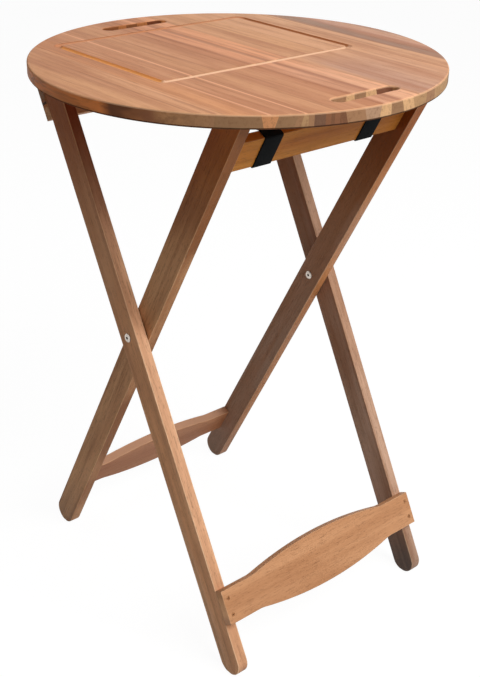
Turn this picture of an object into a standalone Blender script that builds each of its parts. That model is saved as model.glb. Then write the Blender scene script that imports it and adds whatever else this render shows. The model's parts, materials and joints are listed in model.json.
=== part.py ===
"""Round folding barbecue table: a lift-off carving top on a cross-legged wooden stand.

Lengths are in metres, +Z is up, and the origin is on the floor under the middle of the top.
X runs along the grain of the top, and Y along the two bolts that the stand folds about.
Each half of the stand is drawn upright about the bolt axis and leant by its parent empty,
so in a frame's own space Z runs up its legs and X runs across their width.
"""

import math

import bmesh
import bpy
from mathutils import Euler, Matrix, Vector

# Driving dimensions of the whole table
TABLE_HEIGHT = 1.015
TOP_DIAMETER = 0.700
TOP_THICKNESS = 0.022
RIM_ROUND = 0.003
FRAME_WIDTH = 0.480
PIVOT_HEIGHT = 0.560
LEG_LEAN = math.radians(28.0)
LEG_WIDTH = 0.051
LEG_THICKNESS = 0.022
BOARD_THICKNESS = 0.018
EDGE_EASE = 0.0016

# Hand slots and carving groove of the top
SLOT_LENGTH = 0.138
SLOT_WIDTH = 0.024
SLOT_INSET = 0.056
GROOVE_SPAN_X = 0.302
GROOVE_SPAN_Y = 0.411
GROOVE_OFFSET = 0.089
GROOVE_RADIUS = 0.0065
GROOVE_DEPTH = 0.0045
GROOVE_CORNER = 0.009

# Rails at the head of the stand and stretchers at its foot
RAIL_HEIGHT = 0.060
INNER_RAIL_DROP = 0.042
OUTER_RAIL_DROP = 0.032
STRETCHER_SHOULDER = 0.0625
STRETCHER_BELLY = 0.098
BELLY_REACH_SHARE = 0.69
BELLY_BLEND = 0.0015
FRONT_STRETCHER_RISE = 0.1055
REAR_STRETCHER_RISE = 0.094
FOOT_FLAT_DEPTH = 0.0006

# Webbing straps
WEBBING_WIDTH = 0.038
WEBBING_THICKNESS = 0.002
STRAP_SPACING = 0.228
STRAP_TAIL = 0.030
TACK_SETBACK = 0.010

# Bolts, screws, tacks and dowels
BOLT_DIAMETER = 0.006
SLEEVE_DIAMETER = 0.0094
BOLT_HEAD_DIAMETER = 0.016
BOLT_HEAD_HEIGHT = 0.0024
SOCKET_WIDTH = 0.005
SOCKET_DEPTH = 0.0016
BOLT_CHAMFER = 0.0008
BOLT_END_ROOM = 0.006
SLEEVE_FLOOR = 0.004
SLEEVE_SETBACK = 0.012
WASHER_DIAMETER = 0.020
WASHER_THICKNESS = 0.0012
SCREW_HEAD_DIAMETER = 0.0085
SCREW_DIAMETER = 0.004
SCREW_LENGTH = 0.042
SCREW_BRIM = 0.0004
SCREW_POINT = 0.006
SCREW_DRIVE_DEPTH = 0.0014
SCREW_SPACING = 0.031
DOWEL_DIAMETER = 0.008
DOWEL_LENGTH = 0.028
DOWEL_CHAMFER = 0.0008
DOWEL_SPACING = 0.030
TACK_HEAD_DIAMETER = 0.007
TACK_HEAD_HEIGHT = 0.0009
TACK_RIM = 0.0003
TACK_DIAMETER = 0.0018
TACK_LENGTH = 0.013
TACK_POINT = 0.003
TACK_SPACING = 0.018

# Clearance between pieces that meet
FIT_GAP = 0.0003

# Sizes that follow from those above
seat_height = TABLE_HEIGHT - TOP_THICKNESS
leg_top = (seat_height - FIT_GAP - PIVOT_HEIGHT) / math.cos(LEG_LEAN)
foot_radius = LEG_WIDTH / 2
foot_centre = -(PIVOT_HEIGHT - foot_radius + FOOT_FLAT_DEPTH) / math.cos(LEG_LEAN)
pivot_gap = WASHER_THICKNESS + 2 * FIT_GAP
outer_leg_outside = FRAME_WIDTH / 2
outer_leg_inside = outer_leg_outside - LEG_THICKNESS
inner_leg_outside = outer_leg_inside - pivot_gap
inner_leg_inside = inner_leg_outside - LEG_THICKNESS
inner_board_length = 2 * (inner_leg_inside - FIT_GAP)
overlay_inside = LEG_WIDTH / 2 + FIT_GAP
overlay_outside = overlay_inside + BOARD_THICKNESS
overlay_middle = (overlay_inside + overlay_outside) / 2
outer_rail_middle = leg_top - OUTER_RAIL_DROP - RAIL_HEIGHT / 2
inner_rail_middle = leg_top - INNER_RAIL_DROP - RAIL_HEIGHT / 2
front_stretcher_middle = foot_centre + FRONT_STRETCHER_RISE
rear_stretcher_middle = foot_centre + REAR_STRETCHER_RISE
rear_stretcher_across = (BOARD_THICKNESS - LEG_WIDTH) / 2

# Looks of the materials: colour, roughness and how metallic
TOP_WOOD = ((0.56, 0.30, 0.17), 0.45, 0.0)
LEG_WOOD = ((0.33, 0.15, 0.065), 0.50, 0.0)
BOARD_WOOD = ((0.47, 0.22, 0.09), 0.48, 0.0)
DOWEL_WOOD = ((0.60, 0.42, 0.24), 0.60, 0.0)
WEBBING = ((0.010, 0.011, 0.012), 0.85, 0.0)
STEEL = ((0.72, 0.72, 0.70), 0.28, 1.0)
BRASSED_STEEL = ((0.40, 0.26, 0.09), 0.40, 1.0)
BLACKED_STEEL = ((0.05, 0.05, 0.055), 0.45, 1.0)

SIDES = (("left", -1), ("right", 1))
LEVELS = (("upper", 1), ("lower", -1))

for leftover in list(bpy.data.objects):
    bpy.data.objects.remove(leftover, do_unlink=True)

table = bpy.data.collections.new("folding_barbecue_table")
cutters = bpy.data.collections.new("cutters")
bpy.context.scene.collection.children.link(table)
bpy.context.scene.collection.children.link(cutters)
drawing_room = bpy.data.scenes.new("drawing_room")


def empty(name, height, lean=0.0):
    """An axis over the origin that pieces hang from, leant about Y."""
    axis = bpy.data.objects.new(name, None)
    axis.location = (0.0, 0.0, height)
    axis.rotation_euler = Euler((0.0, lean, 0.0))
    axis.empty_display_size = 0.05
    table.objects.link(axis)
    return axis


def finish(piece, look, axis=None):
    """Puts a piece in the table, hangs it from its axis and gives it its own material."""
    colour, roughness, metallic = look
    table.objects.link(piece)
    piece.parent = axis
    surface = bpy.data.materials.new(piece.name)
    surface.use_nodes = True
    shader = surface.node_tree.nodes["Principled BSDF"]
    shader.inputs["Base Color"].default_value = (*colour, 1.0)
    shader.inputs["Roughness"].default_value = roughness
    shader.inputs["Metallic"].default_value = metallic
    surface.diffuse_color = (*colour, 1.0)
    piece.data.materials.append(surface)
    return piece


def cut(piece, shapes):
    """Takes the shapes out of a piece, and keeps them as hidden cutters."""
    group = bpy.data.collections.new("cutters_" + piece.name)
    cutters.children.link(group)
    for shape in shapes:
        group.objects.link(shape)
        shape.hide_render = True
        shape.display_type = "WIRE"
    boolean = piece.modifiers.new("cut", "BOOLEAN")
    boolean.operation = "DIFFERENCE"
    boolean.operand_type = "COLLECTION"
    boolean.collection = group
    boolean.solver = "EXACT"


def meshed(name, drawing):
    """The solid that a drawn object shows, as a plain mesh object with its seams welded."""
    drawing_room.collection.objects.link(drawing)
    layer = drawing_room.view_layers[0]
    layer.update()
    mesh = bpy.data.meshes.new_from_object(drawing.evaluated_get(layer.depsgraph))
    bpy.data.objects.remove(drawing, do_unlink=True)
    shape = bmesh.new()
    shape.from_mesh(mesh)
    bmesh.ops.remove_doubles(shape, verts=shape.verts, dist=0.00001)
    bmesh.ops.recalc_face_normals(shape, faces=shape.faces)
    shape.to_mesh(mesh)
    shape.free()
    mesh.shade_smooth()
    mesh.set_sharp_from_angle(angle=math.radians(40.0))
    return bpy.data.objects.new(name, mesh)


def add_outline(curve, points, height=0.0):
    """A closed run of straight pieces on a curve."""
    spline = curve.splines.new("POLY")
    spline.points.add(len(points) - 1)
    for point, (x, y) in zip(spline.points, points):
        point.co = (x, y, height, 1.0)
    spline.use_cyclic_u = True


def sawn(name, outlines, thickness, ease=0.0, steps=1):
    """A board sawn to its first outline, with the others as openings, and all its edges eased.

    It lies in its own XY plane, with its thickness along Z and centred.
    """
    curve = bpy.data.curves.new(name, "CURVE")
    curve.dimensions = "2D"
    curve.fill_mode = "BOTH"
    curve.extrude = thickness / 2 - ease
    curve.bevel_depth = ease
    curve.bevel_resolution = steps
    curve.offset = -ease
    for points in outlines:
        add_outline(curve, points)
    return meshed(name, bpy.data.objects.new("drawing", curve))


def turned(name, profile, steps, ring=False):
    """A shape turned about Z from (radius, height) points, read from its top down.

    A ring's profile closes on itself and stays clear of the axis.
    """
    mesh = bpy.data.meshes.new(name)
    edges = [(i, i + 1) for i in range(len(profile) - 1)]
    if ring:
        edges.append((len(profile) - 1, 0))
    mesh.from_pydata([(radius, 0.0, height) for radius, height in profile], edges, [])
    drawing = bpy.data.objects.new("drawing", mesh)
    screw = drawing.modifiers.new("turn", "SCREW")
    screw.axis = "Z"
    screw.angle = 2 * math.pi
    screw.steps = steps
    screw.render_steps = steps
    return meshed(name, drawing)


def aim(shape, axis, place, direction):
    """Sets a shape in a frame's space with its own +Z along a direction."""
    turn = Vector((0.0, 0.0, 1.0)).rotation_difference(Vector(direction))
    shape.parent = axis
    shape.matrix_local = Matrix.Translation(Vector(place)) @ turn.to_matrix().to_4x4()
    return shape


def arc(centre, radius, start, end, steps):
    """Points on an arc, both ends included, with angles in radians."""
    angles = [start + (end - start) * i / steps for i in range(steps + 1)]
    return [(centre[0] + radius * math.cos(a), centre[1] + radius * math.sin(a)) for a in angles]


# Axes of the three parts that move against each other
outer_axis = empty("outer_frame_axis", PIVOT_HEIGHT, -LEG_LEAN)
inner_axis = empty("inner_frame_axis", PIVOT_HEIGHT, LEG_LEAN)
top_axis = empty("top_seat", seat_height)


# Profiles of the fittings. With extra room each one is also the hole that it goes in
def screw_profile(extra=0.0):
    """Countersunk wood screw, the top of its head at height 0."""
    head = SCREW_HEAD_DIAMETER / 2 + extra
    shank = SCREW_DIAMETER / 2 + extra
    brim = -SCREW_BRIM - extra
    tip = -SCREW_LENGTH - extra
    mouth = 10 * extra
    return [
        (0.0, mouth),
        (head, mouth),
        (head, brim),
        (shank, brim - head + shank),
        (shank, tip + SCREW_POINT),
        (0.0, tip),
    ]


def dowel_profile(extra=0.0):
    """Chamfered beech dowel, centred."""
    radius = DOWEL_DIAMETER / 2 + extra
    half = DOWEL_LENGTH / 2 + extra
    upper = [(0.0, half), (radius - DOWEL_CHAMFER, half), (radius, half - DOWEL_CHAMFER)]
    return upper + [(r, -z) for r, z in reversed(upper)]


def tack_profile():
    """Flat-headed upholstery tack, the underside of its head at height 0."""
    head = TACK_HEAD_DIAMETER / 2
    shank = TACK_DIAMETER / 2
    return [
        (0.0, TACK_HEAD_HEIGHT),
        (0.7 * head, TACK_HEAD_HEIGHT),
        (head, TACK_RIM),
        (head, 0.0),
        (shank, 0.0),
        (shank, TACK_POINT - TACK_LENGTH),
        (0.0, -TACK_LENGTH),
    ]


def tack_hole_profile():
    radius = TACK_DIAMETER / 2 + FIT_GAP
    return [
        (0.0, FIT_GAP / 2),
        (radius, FIT_GAP / 2),
        (radius, TACK_POINT - TACK_LENGTH),
        (0.0, -TACK_LENGTH - FIT_GAP),
    ]


# Where each set of fittings sits in its frame: a name, a place and the way its head faces
def overlay_screws(face, middle):
    """Two screws at each end of a board laid over the outer legs' edges."""
    sink = math.copysign(FIT_GAP, face)
    found = []
    for side, y_sign in SIDES:
        y = y_sign * (outer_leg_outside + outer_leg_inside) / 2
        for level, z_sign in LEVELS:
            place = (face - sink, y, middle + z_sign * SCREW_SPACING / 2)
            found.append((f"{side}_{level}", place, (math.copysign(1.0, face), 0.0, 0.0)))
    return found


def butt_dowels(across, middle):
    """Two dowels at each end of a board fitted between the inner legs."""
    found = []
    for side, y_sign in SIDES:
        y = y_sign * (inner_leg_inside - FIT_GAP / 2)
        for level, z_sign in LEVELS:
            place = (across, y, middle + z_sign * DOWEL_SPACING / 2)
            found.append((f"{side}_{level}", place, (0.0, 1.0, 0.0)))
    return found


def strap_tacks(face, facing, rail_middle):
    """Two tacks through the tail of each strap, into one face of a rail."""
    found = []
    reach = 2 * FIT_GAP + WEBBING_THICKNESS
    height = rail_middle - RAIL_HEIGHT / 2 + STRAP_TAIL - TACK_SETBACK
    for side, y_sign in SIDES:
        for end, offset in (("near", -1), ("far", 1)):
            y = y_sign * STRAP_SPACING / 2 + offset * TACK_SPACING / 2
            found.append((f"{side}_{end}", (face + facing * reach, y, height), (facing, 0.0, 0.0)))
    return found


rail_screws = overlay_screws(-overlay_outside, outer_rail_middle)
stretcher_screws = overlay_screws(overlay_outside, front_stretcher_middle)
rail_dowels = butt_dowels(0.0, inner_rail_middle)
stretcher_dowels = butt_dowels(rear_stretcher_across, rear_stretcher_middle)
outer_tacks = strap_tacks(-overlay_inside, 1, outer_rail_middle)
inner_tacks = strap_tacks(-BOARD_THICKNESS / 2, -1, inner_rail_middle)


def holes(fittings, axis, profile, steps, side=None):
    """Cutters for a set of fittings, or only for those on one side."""
    return [
        aim(turned("hole_" + name, profile, steps), axis, place, direction)
        for name, place, direction in fittings
        if side is None or name.startswith(side)
    ]


# Tabletop: a glued-up round board with two hand slots and a routed carving groove
def slot_outline(middle):
    half = (SLOT_LENGTH - SLOT_WIDTH) / 2
    far_end = arc((middle, half), SLOT_WIDTH / 2, 0.0, math.pi, 8)
    near_end = arc((middle, -half), SLOT_WIDTH / 2, math.pi, 2 * math.pi, 8)
    return far_end + near_end


def groove_cutter():
    """The path of a round-nosed router bit around the carving field."""
    half_x = GROOVE_SPAN_X / 2 - GROOVE_CORNER
    half_y = GROOVE_SPAN_Y / 2 - GROOVE_CORNER
    points = []
    for quarter, (x, y) in enumerate(((1, 1), (-1, 1), (-1, -1), (1, -1))):
        start = quarter * math.pi / 2
        centre = (x * half_x - GROOVE_OFFSET, y * half_y)
        points += arc(centre, GROOVE_CORNER, start, start + math.pi / 2, 5)
    curve = bpy.data.curves.new("carving_groove", "CURVE")
    curve.dimensions = "3D"
    curve.bevel_depth = GROOVE_RADIUS
    curve.bevel_resolution = 4
    add_outline(curve, points, TOP_THICKNESS + GROOVE_RADIUS - GROOVE_DEPTH)
    groove = meshed(curve.name, bpy.data.objects.new("drawing", curve))
    groove.parent = top_axis
    return groove


top_radius = TOP_DIAMETER / 2
slot_middle = top_radius - SLOT_INSET
rim_outline = arc((0.0, 0.0), top_radius, 0.0, 2 * math.pi, 96)[:-1]
top_outlines = [rim_outline, slot_outline(-slot_middle), slot_outline(slot_middle)]
tabletop = sawn("tabletop", top_outlines, TOP_THICKNESS, RIM_ROUND, 1)
tabletop.location = (0.0, 0.0, TOP_THICKNESS / 2)
cut(tabletop, [groove_cutter()])
finish(tabletop, TOP_WOOD, top_axis)


# Legs: half-round feet with a small flat on the floor, and tops cut level under the tabletop
def leg_outline(lean_sign):
    """Outline across and along a leg of the outer (1) or the inner (-1) frame."""
    down = 1.5 * math.pi - LEG_LEAN
    flat = math.acos(1.0 - FOOT_FLAT_DEPTH / foot_radius)
    foot = arc((0.0, foot_centre), foot_radius, math.pi, down - flat, 4)
    foot += arc((0.0, foot_centre), foot_radius, down + flat, 2 * math.pi, 8)
    slope = foot_radius * math.tan(LEG_LEAN)
    points = foot + [(foot_radius, leg_top - slope), (-foot_radius, leg_top + slope)]
    return [(lean_sign * x, z) for x, z in points]


def leg(name, y, lean_sign):
    piece = sawn(name, [leg_outline(lean_sign)], LEG_THICKNESS, EDGE_EASE)
    piece.location = (0.0, y, 0.0)
    piece.rotation_euler = Euler((math.pi / 2, 0.0, 0.0))
    return piece


def pivot_hole(y, axis):
    radius = SLEEVE_DIAMETER / 2 + FIT_GAP
    reach = LEG_THICKNESS
    profile = [(0.0, reach), (radius, reach), (radius, -reach), (0.0, -reach)]
    return aim(turned("pivot_hole", profile, 24), axis, (0.0, y, 0.0), (0.0, 1.0, 0.0))


for side, y_sign in SIDES:
    y = y_sign * (outer_leg_outside + outer_leg_inside) / 2
    outer_leg = leg("outer_leg_" + side, y, 1)
    screw_holes = holes(rail_screws + stretcher_screws, outer_axis, screw_profile(FIT_GAP), 10, side)
    cut(outer_leg, [pivot_hole(y, outer_axis)] + screw_holes)
    finish(outer_leg, LEG_WOOD, outer_axis)

    y = y_sign * (inner_leg_outside + inner_leg_inside) / 2
    inner_leg = leg("inner_leg_" + side, y, -1)
    dowel_holes = holes(rail_dowels + stretcher_dowels, inner_axis, dowel_profile(FIT_GAP), 12, side)
    cut(inner_leg, [pivot_hole(y, inner_axis)] + dowel_holes)
    finish(inner_leg, LEG_WOOD, inner_axis)


# Rails and bellied stretchers: boards whose faces lie along their frame's legs
def board(name, outline, across, middle):
    """A board drawn along Y and Z of its frame, with its thickness along X."""
    piece = sawn(name, [outline], BOARD_THICKNESS, EDGE_EASE)
    piece.location = (across, 0.0, middle)
    piece.rotation_euler = Euler((math.pi / 2, 0.0, math.pi / 2))
    return piece


def rail_outline(length):
    half, rise = length / 2, RAIL_HEIGHT / 2
    return [(-half, -rise), (half, -rise), (half, rise), (-half, rise)]


def stretcher_outline(length):
    """Level shoulders that bend softly into one full arc along both edges."""
    half = length / 2
    crown = (STRETCHER_BELLY - STRETCHER_SHOULDER) / 2
    reach = BELLY_REACH_SHARE * half
    start = reach * math.sqrt(1.0 + BELLY_BLEND / crown)
    steps = 24
    stations = [-half] + [start * (2 * i / steps - 1) for i in range(steps + 1)] + [half]
    upper = []
    for y in stations:
        rise = crown * (1.0 - (y / reach) ** 2)
        if rise < BELLY_BLEND:
            rise = max(rise + BELLY_BLEND, 0.0) ** 2 / (4 * BELLY_BLEND)
        upper.append((y, STRETCHER_SHOULDER / 2 + rise))
    return upper[::-1] + [(y, -z) for y, z in upper]


outer_rail = board("outer_top_rail", rail_outline(FRAME_WIDTH), -overlay_middle, outer_rail_middle)
cut(
    outer_rail,
    holes(rail_screws, outer_axis, screw_profile(FIT_GAP), 10)
    + holes(outer_tacks, outer_axis, tack_hole_profile(), 8),
)
finish(outer_rail, BOARD_WOOD, outer_axis)

inner_rail = board("inner_top_rail", rail_outline(inner_board_length), 0.0, inner_rail_middle)
cut(
    inner_rail,
    holes(rail_dowels, inner_axis, dowel_profile(FIT_GAP), 12)
    + holes(inner_tacks, inner_axis, tack_hole_profile(), 8),
)
finish(inner_rail, BOARD_WOOD, inner_axis)

front_stretcher = board(
    "front_stretcher", stretcher_outline(FRAME_WIDTH), overlay_middle, front_stretcher_middle
)
cut(front_stretcher, holes(stretcher_screws, outer_axis, screw_profile(FIT_GAP), 10))
finish(front_stretcher, BOARD_WOOD, outer_axis)

rear_stretcher = board(
    "rear_stretcher", stretcher_outline(inner_board_length), rear_stretcher_across, rear_stretcher_middle
)
cut(rear_stretcher, holes(stretcher_dowels, inner_axis, dowel_profile(FIT_GAP), 12))
finish(rear_stretcher, BOARD_WOOD, inner_axis)


# Screws of the overlaid boards, and dowels of the fitted ones
def drive_cross(axis, place, direction):
    """Cutter for the cross drive in a screw's head."""
    reach, root, tip = [share * SCREW_HEAD_DIAMETER for share in (0.27, 0.06, 0.045)]
    arm = [(reach, -tip), (reach, tip), (root, root)]
    outline = []
    for turn in range(4):
        for x, y in arm:
            for _ in range(turn):
                x, y = -y, x
            outline.append((x, y))
    return aim(sawn("drive_cross", [outline], 2 * SCREW_DRIVE_DEPTH), axis, place, direction)


for board_name, screws in (("rail", rail_screws), ("stretcher", stretcher_screws)):
    for name, place, direction in screws:
        screw = aim(turned(f"{board_name}_screw_{name}", screw_profile(), 10), outer_axis, place, direction)
        cut(screw, [drive_cross(outer_axis, place, direction)])
        finish(screw, BRASSED_STEEL, outer_axis)

for board_name, dowels in (("rail", rail_dowels), ("stretcher", stretcher_dowels)):
    for name, place, direction in dowels:
        dowel = aim(turned(f"{board_name}_dowel_{name}", dowel_profile(), 12), inner_axis, place, direction)
        finish(dowel, DOWEL_WOOD, inner_axis)


# Pivots: a flat-headed bolt screwed into a sleeve nut, with a washer between the two legs
bolt_seat = outer_leg_outside + FIT_GAP
sleeve_seat = inner_leg_inside - FIT_GAP
grip = bolt_seat - sleeve_seat


def head_profile():
    radius = BOLT_HEAD_DIAMETER / 2
    return [
        (0.0, BOLT_HEAD_HEIGHT),
        (0.86 * radius, BOLT_HEAD_HEIGHT),
        (radius, 0.55 * BOLT_HEAD_HEIGHT),
        (radius, 0.0),
    ]


def bolt_profile():
    shank = BOLT_DIAMETER / 2
    end = grip - SLEEVE_FLOOR - BOLT_END_ROOM
    tip = [(shank, BOLT_CHAMFER - end), (shank - BOLT_CHAMFER, -end), (0.0, -end)]
    return head_profile() + [(shank, 0.0)] + tip


def sleeve_profile():
    outside = SLEEVE_DIAMETER / 2
    inside = BOLT_DIAMETER / 2 + FIT_GAP
    end = grip - SLEEVE_SETBACK
    bore = [(inside, -end), (inside, -SLEEVE_FLOOR), (0.0, -SLEEVE_FLOOR)]
    return head_profile() + [(outside, 0.0), (outside, -end)] + bore


def washer_profile():
    hole, rim = SLEEVE_DIAMETER / 2 + FIT_GAP, WASHER_DIAMETER / 2
    half = WASHER_THICKNESS / 2
    return [(hole, half), (rim, half), (rim, -half), (hole, -half)]


def socket_cutter(axis, place, direction):
    """Cutter for the six-sided key socket in a bolt's or a sleeve nut's head."""
    corner = SOCKET_WIDTH / math.sqrt(3)
    floor = BOLT_HEAD_HEIGHT - SOCKET_DEPTH
    mouth = 2 * BOLT_HEAD_HEIGHT
    profile = [(0.0, mouth), (corner, mouth), (corner, floor), (0.0, floor)]
    return aim(turned("key_socket", profile, 6), axis, place, direction)


for side, y_sign in SIDES:
    place, outward = (0.0, y_sign * bolt_seat, 0.0), (0.0, y_sign, 0.0)
    bolt = aim(turned("pivot_bolt_" + side, bolt_profile(), 20), outer_axis, place, outward)
    cut(bolt, [socket_cutter(outer_axis, place, outward)])
    finish(bolt, STEEL, outer_axis)

    place, inward = (0.0, y_sign * sleeve_seat, 0.0), (0.0, -y_sign, 0.0)
    sleeve = aim(turned("sleeve_nut_" + side, sleeve_profile(), 20), outer_axis, place, inward)
    cut(sleeve, [socket_cutter(outer_axis, place, inward)])
    finish(sleeve, STEEL, outer_axis)

    place = (0.0, y_sign * (outer_leg_inside - pivot_gap / 2), 0.0)
    washer = turned("pivot_washer_" + side, washer_profile(), 20, ring=True)
    finish(aim(washer, outer_axis, place, outward), STEEL, outer_axis)


# Straps: webbing wrapped round both top rails, pulled straight between them when the stand is open
def rail_corner(lean, across, along):
    """A point of a leant frame's space, in the table's X and Z."""
    return (
        across * math.cos(lean) - along * math.sin(lean),
        PIVOT_HEIGHT + across * math.sin(lean) + along * math.cos(lean),
    )


def rail_corners(lean, back, front, middle):
    """Centres of a rail's four eased edges: bottom front, bottom back, top back and top front."""
    low = middle - RAIL_HEIGHT / 2 + EDGE_EASE
    high = middle + RAIL_HEIGHT / 2 - EDGE_EASE
    back, front = back + EDGE_EASE, front - EDGE_EASE
    places = ((front, low), (back, low), (back, high), (front, high))
    return [rail_corner(lean, across, along) for across, along in places]


outer_corners = rail_corners(LEG_LEAN, -overlay_outside, -overlay_inside, outer_rail_middle)
inner_corners = rail_corners(-LEG_LEAN, -BOARD_THICKNESS / 2, BOARD_THICKNESS / 2, inner_rail_middle)
span_start, span_end = outer_corners[3], inner_corners[2]
span_slope = math.atan2(span_end[1] - span_start[1], span_end[0] - span_start[0])


def moved(point, angle, distance):
    return (point[0] + distance * math.cos(angle), point[1] + distance * math.sin(angle))


def strap_side(radius):
    """One side of the webbing, as it turns clockwise round each rail at this distance from its edges."""
    quarter = math.pi / 2
    bottom_front, bottom_back, top_back, top_front = outer_corners
    facing = LEG_LEAN
    points = [moved(moved(bottom_front, facing, radius), facing + quarter, STRAP_TAIL)]
    for corner in (bottom_front, bottom_back, top_back):
        points += arc(corner, radius, facing, facing - quarter, 3)
        facing -= quarter
    points += arc(top_front, radius, facing, span_slope - 3 * quarter, 2)

    bottom_front, bottom_back, top_back, top_front = inner_corners
    facing = quarter - LEG_LEAN
    points += arc(top_back, radius, span_slope + quarter, facing, 2)
    for corner in (top_front, bottom_front, bottom_back):
        points += arc(corner, radius, facing, facing - quarter, 3)
        facing -= quarter
    points.append(moved(moved(bottom_back, facing, radius), facing - quarter, STRAP_TAIL))
    return points


near_side = strap_side(EDGE_EASE + FIT_GAP)
far_side = strap_side(EDGE_EASE + FIT_GAP + WEBBING_THICKNESS)
for side, y_sign in SIDES:
    strap = sawn("strap_" + side, [far_side + near_side[::-1]], WEBBING_WIDTH)
    strap.location = (0.0, y_sign * STRAP_SPACING / 2, 0.0)
    strap.rotation_euler = Euler((math.pi / 2, 0.0, 0.0))
    cut(
        strap,
        holes(outer_tacks, outer_axis, tack_hole_profile(), 8, side)
        + holes(inner_tacks, inner_axis, tack_hole_profile(), 8, side),
    )
    finish(strap, WEBBING)

for rail_name, axis, tacks in (("outer", outer_axis, outer_tacks), ("inner", inner_axis, inner_tacks)):
    for name, place, direction in tacks:
        tack = aim(turned(f"{rail_name}_tack_{name}", tack_profile(), 8), axis, place, direction)
        finish(tack, BLACKED_STEEL, axis)

bpy.data.scenes.remove(drawing_room)
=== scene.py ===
"""Looks of the round folding barbecue table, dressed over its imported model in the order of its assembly."""

import json
import math

import bmesh
import bpy
from mathutils import Matrix, Vector


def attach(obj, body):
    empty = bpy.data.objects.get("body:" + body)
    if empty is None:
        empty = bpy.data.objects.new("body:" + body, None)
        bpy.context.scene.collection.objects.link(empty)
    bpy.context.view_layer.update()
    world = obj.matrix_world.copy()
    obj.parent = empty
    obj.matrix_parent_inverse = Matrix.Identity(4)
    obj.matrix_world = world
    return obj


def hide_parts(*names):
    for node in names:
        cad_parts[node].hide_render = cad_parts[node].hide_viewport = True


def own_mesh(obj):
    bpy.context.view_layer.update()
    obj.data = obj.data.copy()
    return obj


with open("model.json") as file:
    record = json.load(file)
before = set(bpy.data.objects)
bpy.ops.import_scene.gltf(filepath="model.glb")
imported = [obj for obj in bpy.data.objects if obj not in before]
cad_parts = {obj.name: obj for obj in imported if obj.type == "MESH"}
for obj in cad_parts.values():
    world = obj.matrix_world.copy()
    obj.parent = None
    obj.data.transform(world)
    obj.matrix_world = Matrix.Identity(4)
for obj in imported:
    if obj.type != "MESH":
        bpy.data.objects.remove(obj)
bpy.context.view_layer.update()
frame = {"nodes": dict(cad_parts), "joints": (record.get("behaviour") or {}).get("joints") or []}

# Outer legs: two planed bars of oiled hardwood with half-round feet and heads cut level under the top.
# They lean back about the pivot bolts that pass through them, and the outer rail and the front
# stretcher are screwed over their edges. Every arris is eased, and is painted paler than the faces, as wear
# and as a painted highlight.
leg_width = 0.051
leg_thickness = 0.022
leg_top = 0.4901
foot_centre = -0.6060
foot_flat = 0.0006
outer_leg_middle = 0.229
pivot_bore = 0.005
edge_ease = 0.0016
merge_distance = 0.00001
hands = (("left", -1), ("right", 1))
fold = next(joint for joint in frame["joints"] if joint["name"] == "frame_fold")
pivot = Vector(fold["pos_m"])
lean = math.radians(fold["range_deg"][1]) / 2
outer_place = Matrix.Translation(pivot) @ Matrix.Rotation(-lean, 4, "Y")


class Wire:
    """One output of a node. Sums on it add Math nodes to its tree, and add() makes any other node."""

    def __init__(self, socket):
        self.socket = socket

    def add(self, kind, settings, sockets, out=0):
        node = self.socket.id_data.nodes.new(kind)
        for name, value in settings.items():
            if name == "stops":
                set_stops(node.color_ramp, value)
            else:
                setattr(node, name, value)
        for name, value in sockets.items():
            for source in value if isinstance(value, list) else [value]:
                if isinstance(source, Wire):
                    node.id_data.links.new(source.socket, node.inputs[name])
                else:
                    node.inputs[name].default_value = source
        return Wire(node.outputs[out])

    def other(self, name):
        """Another output of the same node."""
        return Wire(self.socket.node.outputs[name])

    def math(self, operation, first, second=0.0):
        return self.add("ShaderNodeMath", {"operation": operation}, {0: first, 1: second})

    def __add__(self, other):
        return self.math("ADD", self, other)

    def __sub__(self, other):
        return self.math("SUBTRACT", self, other)

    def __rsub__(self, other):
        return self.math("SUBTRACT", other, self)

    def __mul__(self, other):
        return self.math("MULTIPLY", self, other)

    def __truediv__(self, other):
        return self.math("DIVIDE", self, other)

    def __rtruediv__(self, other):
        return self.math("DIVIDE", other, self)

    def __gt__(self, other):
        return self.math("GREATER_THAN", self, other)

    def __lt__(self, other):
        return self.math("LESS_THAN", self, other)

    def __abs__(self):
        return self.math("ABSOLUTE", self)

    __radd__ = __add__
    __rmul__ = __mul__

    def ease(self, low, high):
        """0 below low and 1 above high, smooth between them."""
        sockets = {"Value": self, "From Min": low, "From Max": high}
        return self.add("ShaderNodeMapRange", {"interpolation_type": "SMOOTHSTEP"}, sockets)

    def parts(self):
        split = self.add("ShaderNodeSeparateXYZ", {}, {0: self})
        return split, split.other("Y"), split.other("Z")

    def tinted(self, first, second, how="MIX"):
        """From one colour to another by this share."""
        settings = {"data_type": "RGBA", "blend_type": how}
        return self.add("ShaderNodeMix", settings, {0: self, 6: first, 7: second}, out=2)

    def scaled(self, rate):
        return self.add("ShaderNodeVectorMath", {"operation": "SCALE"}, {0: self, "Scale": rate})

    def mark(self, name):
        """What the mesh stores under a name."""
        return self.add("ShaderNodeAttribute", {"attribute_name": name}, {}, "Fac")

    def noise(self, detail=2.0, roughness=0.5):
        sockets = {"Vector": self, "Scale": 1.0, "Detail": detail, "Roughness": roughness}
        return self.add("ShaderNodeTexNoise", {}, sockets)


def set_stops(ramp, value):
    """Sets a ramp's interpolation and its (place, colour) stops."""
    ramp.interpolation, stops = value
    ramp.elements.remove(ramp.elements[1])
    ramp.elements[0].position = stops[0][0]
    ramp.elements[0].color = stops[0][1]
    for place, colour in stops[1:]:
        ramp.elements.new(place).color = colour


def shade(red, green, blue):
    """A colour from the 0 to 255 values that a screen shows."""
    values = [value / 255 for value in (red, green, blue)]
    return (*[v / 12.92 if v <= 0.04045 else ((v + 0.055) / 1.055) ** 2.4 for v in values], 1.0)


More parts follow.
